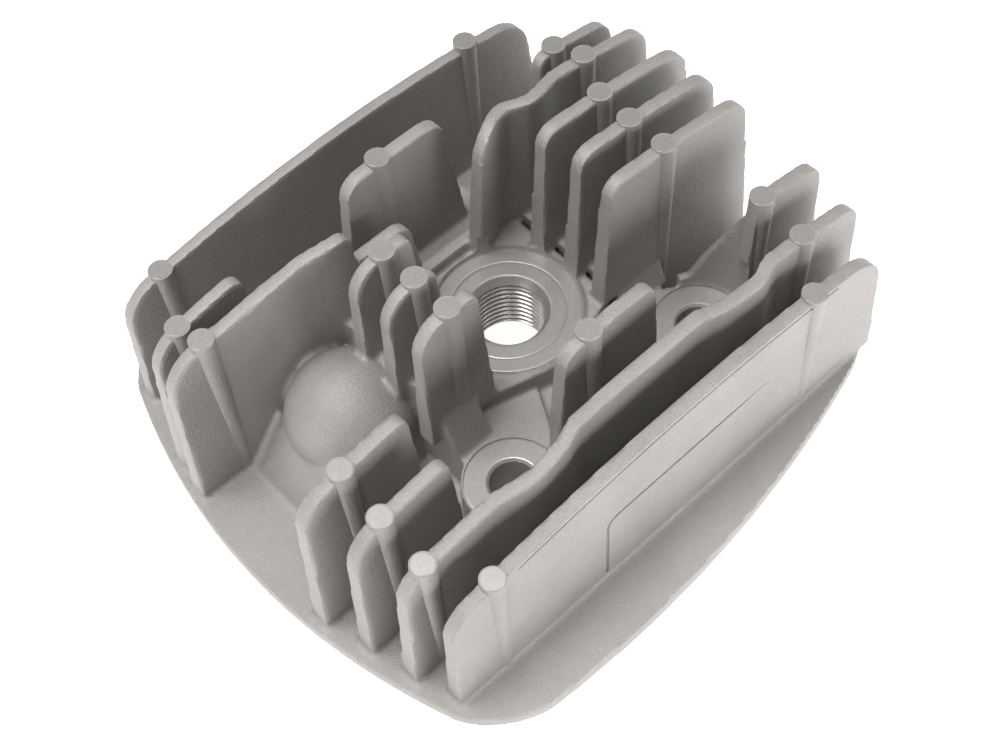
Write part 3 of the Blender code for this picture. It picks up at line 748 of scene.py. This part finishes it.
# Each fin's CAD nodes, then its box: the limits in X and in Y, and its foot. What is outside every box
# is the body.
FAR = 80
FINS = {
    "fin_a": (("fin_a",), (-FAR, FAR), (-46.0, -37.4), -9.0),
    "fin_b": (("fin_b",), (-FAR, FAR), (-37.4, -29.6), -1.6),
    "fin_c_left": (("fin_c_left",), (-FAR, -31.0), (-29.6, -20.9), -9.0),
    "fin_c_middle": (("fin_c_middle",), (-31.0, 13.0), (-29.6, -20.9), -1.6),
    "fin_c_right": (("fin_c_right", "stud_well_wall"), (13.0, FAR), (-29.6, -13.0), 1.4),
    "fin_d_left": (("fin_d_left",), (-FAR, -31.0), (-20.9, -12.6), -9.0),
    "short_fin_front": (("short_fin_front",), (-31.0, 0.0), (-13.0, -5.6), 10.5),
    "short_fin_middle": (("short_fin_middle",), (-31.0, 0.0), (-5.6, 2.0), 10.5),
    "short_fin_back": (("short_fin_back",), (-31.0, 0.0), (2.0, 9.8), 10.5),
    "right_fin_front": (("right_fin_front",), (9.0, FAR), (-13.0, -5.7), 3.0),
    "right_fin_middle": (("right_fin_middle",), (9.0, FAR), (-5.7, 1.8), 3.0),
    "right_fin_back": (("right_fin_back",), (9.0, FAR), (1.8, 9.7), 3.0),
    "fin_f_left": (("fin_f_left", "fin_f_step"), (-FAR, 0.0), (9.8, 19.0), 9.6),
    "fin_f_right": (("fin_f_right",), (0.0, FAR), (9.7, 18.4), 4.4),
    "fin_g_left": (("fin_g_left",), (-FAR, -31.0), (19.0, 28.0), -9.0),
    "fin_g_middle": (("fin_g_middle",), (-31.0, 18.0), (19.0, 28.0), 1.4),
    "fin_g_right": (("fin_g_right",), (18.0, FAR), (18.4, 28.0), -1.2),
    "fin_h": (("fin_h",), (-FAR, FAR), (33.0, 44.0), -9.0),
}
AIR = 0.1  # each box is this much smaller than its limits, so that no two boxes touch
BODY_NODES = (
    "base_flange", "plug_boss", "blind_boss", "shoulder_left", "shoulder_right", "front_web", "back_web",
    "fin_f_ledge", "stud_pad_front_left", "stud_pad_front_right", "stud_pad_back_right", "stud_pad_back_left",
)


def box_solid(x_range, y_range, z_range, inset=0.0):
    (x0, x1), (y0, y1) = x_range, y_range
    return prism(rectangle(x0 + inset, x1 - inset, y0 + inset, y1 - inset), *z_range)


def copy_of(obj, name):
    twin = obj.copy()
    twin.data = obj.data.copy()
    twin.name = name
    bpy.context.scene.collection.objects.link(twin)
    return twin


def fin_boxes():
    boxes = [box_solid(xs, ys, (low, FAR), AIR) for _, xs, ys, low in FINS.values()]
    return new_object("boxes", place(joined(boxes)))


def islands(obj):
    """The loose bodies of a mesh, as lists of face indices."""
    builder = bmesh.new()
    builder.from_mesh(obj.data)
    builder.faces.ensure_lookup_table()
    seen = [False] * len(builder.faces)
    found = []
    for start in builder.faces:
        if seen[start.index]:
            continue
        seen[start.index] = True
        island, todo = [], [start]
        while todo:
            face = todo.pop()
            island.append(face.index)
            for edge in face.edges:
                for other in edge.link_faces:
                    if not seen[other.index]:
                        seen[other.index] = True
                        todo.append(other)
        found.append(island)
    builder.free()
    return found


def box_of(point):
    x, y = seat_xy(point)
    for name, (_, xs, ys, _) in FINS.items():
        if xs[0] <= x <= xs[1] and ys[0] <= y <= ys[1]:
            return name
    raise ValueError(f"no fin's box holds ({x:.1f}, {y:.1f})")


def piece_from(obj, faces, name):
    """A new object with only those faces of another."""
    mesh = obj.data
    corners = np.empty(len(mesh.loops), np.int32)
    mesh.loops.foreach_get("vertex_index", corners)
    starts = np.empty(len(mesh.polygons), np.int32)
    mesh.polygons.foreach_get("loop_start", starts)
    sizes = np.empty(len(mesh.polygons), np.int32)
    mesh.polygons.foreach_get("loop_total", sizes)
    points = np.empty(len(mesh.vertices) * 3, np.float32)
    mesh.vertices.foreach_get("co", points)
    points = points.reshape(-1, 3)
    rings = [corners[starts[f]:starts[f] + sizes[f]] for f in faces]
    used, index = np.unique(np.concatenate(rings), return_inverse=True)
    ends = np.cumsum([len(ring) for ring in rings])[:-1]
    made = bpy.data.meshes.new(name)
    made.from_pydata(points[used].tolist(), [], [ring.tolist() for ring in np.split(index, ends)])
    piece = bpy.data.objects.new(name, made)
    bpy.context.scene.collection.objects.link(piece)
    return piece


def split(obj):
    """One closed piece for each fin, and the rest in two: the gasket side and the body."""
    fins = copy_of(obj, "fins")
    cut(fins, fin_boxes(), "INTERSECT")
    cut(obj, fin_boxes())
    groups = {name: [] for name in FINS}
    for island in islands(fins):
        first = fins.data.polygons[island[0]]
        groups[box_of(first.center)] += island
    pieces = []
    for name, faces in groups.items():
        pieces.append((piece_from(fins, faces, "cast_" + name), FINS[name][0]))
    bpy.data.objects.remove(fins)
    lower = copy_of(obj, "cast_gasket_side")
    wide = (-FAR, FAR)
    below = (-FAR, (PLATE_BOTTOM + PLATE_TOP) / 2 - 0.3)
    cut(lower, new_object("box", place(box_solid(wide, wide, below))), "INTERSECT")
    pieces.append((lower, ("gasket_deck",)))
    cut(obj, new_object("box", place(box_solid(wide, wide, below))))
    obj.name = "cast_body"
    pieces.append((obj, BODY_NODES))
    return pieces


# ---------------------------------------------------------------- materials

CAST_DARK = (0.315, 0.299, 0.285, 1)
CAST_LIGHT = (0.365, 0.348, 0.333, 1)
TURNED_DARK = (0.40, 0.385, 0.36, 1)
TURNED_LIGHT = (0.54, 0.525, 0.50, 1)
PAPER_WHITE = (0.9, 0.9, 0.9, 1)
LIGHT_WHITE = (1, 1, 1, 1)
GRAIN_SCALE, CLOUD_SCALE, SPECK_SCALE, TURNING_SCALE = 2600, 70, 3100, 1500


def nodes_of(material):
    material.use_nodes = True
    tree = material.node_tree
    return tree, tree.nodes, tree.nodes["Principled BSDF"]


def cast_skin():
    """Blasted die-cast aluminium: fine grain, a faint cloudiness, and specks of another tone and gloss."""
    material = bpy.data.materials.new("cast_skin")
    tree, nodes, shader = nodes_of(material)
    link = tree.links.new
    place_node = nodes.new("ShaderNodeTexCoord")

    def noise(scale, detail, roughness=0.6):
        node = nodes.new("ShaderNodeTexNoise")
        node.inputs["Scale"].default_value = scale
        node.inputs["Detail"].default_value = detail
        node.inputs["Roughness"].default_value = roughness
        link(place_node.outputs["Object"], node.inputs["Vector"])
        return node

    grain = noise(GRAIN_SCALE, 3.0, 0.7)
    cloud = noise(CLOUD_SCALE, 4.0)
    speck = noise(SPECK_SCALE, 2.0, 0.7)
    tone = nodes.new("ShaderNodeValToRGB")
    tone.color_ramp.elements[0].position = 0.3
    tone.color_ramp.elements[0].color = CAST_DARK
    tone.color_ramp.elements[1].position = 0.72
    tone.color_ramp.elements[1].color = CAST_LIGHT
    link(cloud.outputs["Fac"], tone.inputs["Fac"])
    dots = nodes.new("ShaderNodeMapRange")
    dots.inputs["From Min"].default_value = 0.3
    dots.inputs["From Max"].default_value = 0.7
    dots.inputs["To Min"].default_value = 0.86
    dots.inputs["To Max"].default_value = 1.1
    link(speck.outputs["Fac"], dots.inputs["Value"])
    mix = nodes.new("ShaderNodeMix")
    mix.data_type = "RGBA"
    mix.blend_type = "MULTIPLY"
    mix.inputs["Factor"].default_value = 1.0
    link(tone.outputs["Color"], mix.inputs["A"])
    link(dots.outputs["Result"], mix.inputs["B"])
    link(mix.outputs["Result"], shader.inputs["Base Color"])
    rough = nodes.new("ShaderNodeMapRange")
    rough.inputs["To Min"].default_value = 0.48
    rough.inputs["To Max"].default_value = 0.66
    link(speck.outputs["Fac"], rough.inputs["Value"])
    link(rough.outputs["Result"], shader.inputs["Roughness"])
    shader.inputs["Metallic"].default_value = 0.35
    bump = nodes.new("ShaderNodeBump")
    bump.inputs["Strength"].default_value = 0.75
    bump.inputs["Distance"].default_value = 0.0002
    link(grain.outputs["Fac"], bump.inputs["Height"])
    soft = nodes.new("ShaderNodeBump")
    soft.inputs["Strength"].default_value = 0.5
    soft.inputs["Distance"].default_value = 0.00006
    link(speck.outputs["Fac"], soft.inputs["Height"])
    link(bump.outputs["Normal"], soft.inputs["Normal"])
    link(soft.outputs["Normal"], shader.inputs["Normal"])
    return material


def turned_face():
    """Aluminium turned on a lathe, brighter than the cast skin."""
    material = bpy.data.materials.new("turned_face")
    tree, nodes, shader = nodes_of(material)
    link = tree.links.new
    place_node = nodes.new("ShaderNodeTexCoord")
    fine = nodes.new("ShaderNodeTexNoise")
    fine.inputs["Scale"].default_value = TURNING_SCALE
    fine.inputs["Detail"].default_value = 3
    link(place_node.outputs["Object"], fine.inputs["Vector"])
    tone = nodes.new("ShaderNodeValToRGB")
    tone.color_ramp.elements[0].color = TURNED_DARK
    tone.color_ramp.elements[1].color = TURNED_LIGHT
    link(fine.outputs["Fac"], tone.inputs["Fac"])
    link(tone.outputs["Color"], shader.inputs["Base Color"])
    shader.inputs["Metallic"].default_value = 0.7
    shader.inputs["Roughness"].default_value = 0.36
    bump = nodes.new("ShaderNodeBump")
    bump.inputs["Strength"].default_value = 0.25
    bump.inputs["Distance"].default_value = 0.00005
    link(fine.outputs["Fac"], bump.inputs["Height"])
    link(bump.outputs["Normal"], shader.inputs["Normal"])
    return material


# ---------------------------------------------------------------- making the pieces

add_base()
add_boss()
add_pads()
add_shoulders()
add_dome()
add_fins()
add_well_wall()
casting = baked(melt())
machine(casting)
skin = cast_skin()
bright = turned_face()
for piece, cad_nodes in split(casting):
    piece.data.materials.clear()
    piece.data.materials.append(skin)
    piece.data.shade_smooth()
    piece.data.set_sharp_from_angle(angle=math.radians(38))
    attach(piece, "root")
    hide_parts(*cad_nodes)
pads = [name for name in BODY_NODES if name.startswith("stud_pad_")]
fins = [name for name in frame["nodes"] if "fin_" in name]
machined = ((thread_piece(), ["plug_boss"]), (turned_rings(), ["plug_boss", *pads]), (pin_caps(), fins))
for piece, cad_nodes in machined:
    piece.data.materials.append(bright)
    piece.data.shade_smooth()
    piece.data.set_sharp_from_angle(angle=math.radians(30))
    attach(piece, "root")
    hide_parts(*cad_nodes)

# ---------------------------------------------------------------- camera, floor and light

FLOOR_HALF = 1.5
FLOOR_GAP = 0.0002
PAPER_GLOW = 0.75
SKY_STRENGTH = 0.25
# Name, direction from the object, distance and size in metres, and power in watts
LIGHTS = (
    ("key", (-0.2, 0.1, 1.0), 0.9, 0.35, 7.6),
    ("front", (0.25, -1.0, 0.14), 0.8, 0.4, 4.6),
    ("left", (-1.0, -0.1, 0.5), 0.9, 0.5, 2.5),
    ("right", (0.9, -0.2, 0.9), 0.9, 0.4, 1.2),
)


def add_camera():
    data = bpy.data.cameras.new("camera")
    data.lens = CAMERA_LENS
    data.sensor_width = SENSOR_WIDTH
    data.clip_start = 0.01
    camera = bpy.data.objects.new("camera", data)
    bpy.context.scene.collection.objects.link(camera)
    forward = Vector((
        math.cos(CAMERA_FALL) * math.cos(CAMERA_AZIMUTH),
        math.cos(CAMERA_FALL) * math.sin(CAMERA_AZIMUTH),
        -math.sin(CAMERA_FALL),
    ))
    level = forward.cross(Vector((0, 0, 1))).normalized()
    upright = level.cross(forward)
    right = level * math.cos(CAMERA_ROLL) + upright * math.sin(CAMERA_ROLL)
    up = right.cross(forward)
    rotation = Matrix((right, up, -forward)).transposed().to_4x4()
    camera.matrix_world = Matrix.Translation(SEAT + Vector(CAMERA_PLACE) * MM) @ rotation
    bpy.context.scene.camera = camera


def add_area(name, direction, distance, size, power):
    data = bpy.data.lights.new(name, "AREA")
    data.energy = power
    data.size = size
    light = bpy.data.objects.new(name, data)
    bpy.context.scene.collection.objects.link(light)
    position = Vector(direction).normalized() * distance
    light.location = position
    light.rotation_euler = (-position).to_track_quat("-Z", "Y").to_euler()


def add_floor():
    """White paper, with a glow of its own so that it stays white in the object's shadow."""
    builder = bmesh.new()
    bmesh.ops.create_grid(builder, x_segments=1, y_segments=1, size=FLOOR_HALF)
    floor = new_object("floor", builder)
    paper = bpy.data.materials.new("paper")
    _, _, shader = nodes_of(paper)
    shader.inputs["Base Color"].default_value = PAPER_WHITE
    shader.inputs["Roughness"].default_value = 0.9
    shader.inputs["Emission Color"].default_value = LIGHT_WHITE
    shader.inputs["Emission Strength"].default_value = PAPER_GLOW
    floor.data.materials.append(paper)
    floor.location.z = -FLOOR_GAP


def add_sky():
    world = bpy.data.worlds.new("studio")
    world.use_nodes = True
    sky = world.node_tree.nodes["Background"]
    sky.inputs["Color"].default_value = LIGHT_WHITE
    sky.inputs["Strength"].default_value = SKY_STRENGTH
    bpy.context.scene.world = world


add_camera()
add_floor()
add_sky()
for light in LIGHTS:
    add_area(*light)
bpy.context.scene.view_settings.view_transform = "Standard"
